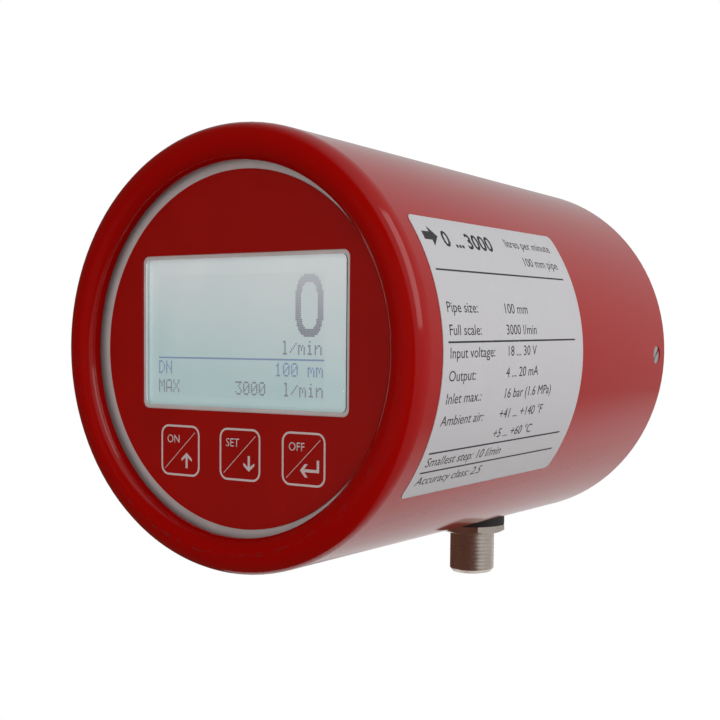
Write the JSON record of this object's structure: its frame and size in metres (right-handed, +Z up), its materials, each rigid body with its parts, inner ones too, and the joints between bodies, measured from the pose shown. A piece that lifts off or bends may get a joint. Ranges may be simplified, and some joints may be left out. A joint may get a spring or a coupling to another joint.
{
  "type": "flow meter",
  "caption": "Electronic flow meter head: painted round housing with a recessed graphic display and keypad, a rear plate with pressure ports and a screw-lock plug underneath.",
  "frame": {"origin": "centre of the rear face, on the tube's axis", "axes": "+Y leaves the rear face along the tube, -Y leaves the display, +Z is up, the plug points down"},
  "size_m": [0.0901, 0.1285, 0.1049],
  "materials": {
    "red_paint": "gloss powder coat over aluminium",
    "grey_plate": "fine matte pale grey",
    "red_foil": "satin printed film",
    "clear_pane": "clear acrylic pane",
    "display_glass": "transflective liquid crystal cell",
    "white_diffuser": "milky light plate",
    "black_plastic": "moulded, satin",
    "key_plastic": "moulded, satin",
    "circuit_board": "solder resist on glass laminate",
    "green_plastic": "moulded, satin",
    "lead_jacket": "extruded jacket",
    "spring_steel": "phosphated spring steel",
    "plated_steel": "zinc plated",
    "stainless_steel": "turned and milled",
    "bare_aluminium": "turned, clear anodised",
    "nickel_plate": "bright nickel over brass",
    "contact_brass": "gold plated contacts",
    "black_rubber": "moulded, matte",
    "label_film": "silver grey adhesive film"
  },
  "bodies": {
    "head": {"housing_tube": "red_paint", "face_plate": "grey_plate", "front_seal": "black_rubber", "retaining_ring": "spring_steel", "keypad_foil": "red_foil", "display_window": "clear_pane", "lcd_glass": "display_glass", "lcd_backlight": "white_diffuser", "lcd_frame": "black_plastic", "key_switches": "black_plastic", "display_board": "circuit_board", "front_pillars": "plated_steel", "board_spacers": "plated_steel", "board_screws": "plated_steel", "main_board": "circuit_board", "board_link": "black_plastic", "terminal_blocks": "green_plastic", "supply_lead": "lead_jacket", "sensor_lead": "lead_jacket", "sensor_cell": "stainless_steel", "cell_seals": "black_rubber", "cell_screws": "plated_steel", "rear_plate": "bare_aluminium", "rear_seal": "black_rubber", "side_screws": "plated_steel", "connector_shell": "nickel_plate", "connector_insert": "black_plastic", "connector_pins": "contact_brass", "connector_gasket": "black_rubber", "type_label": "label_film"},
    "on_key": {"on_key": "key_plastic"},
    "set_key": {"set_key": "key_plastic"},
    "off_key": {"off_key": "key_plastic"}
  },
  "joints": [
    {"name": "on_key_press", "type": "slide", "parent": "head", "child": "on_key", "axis": [0, 1, 0], "range_m": [0, 0.0003], "stiffness_N_per_m": 5000},
    {"name": "set_key_press", "type": "slide", "parent": "head", "child": "set_key", "axis": [0, 1, 0], "range_m": [0, 0.0003], "stiffness_N_per_m": 5000},
    {"name": "off_key_press", "type": "slide", "parent": "head", "child": "off_key", "axis": [0, 1, 0], "range_m": [0, 0.0003], "stiffness_N_per_m": 5000}
  ]
}
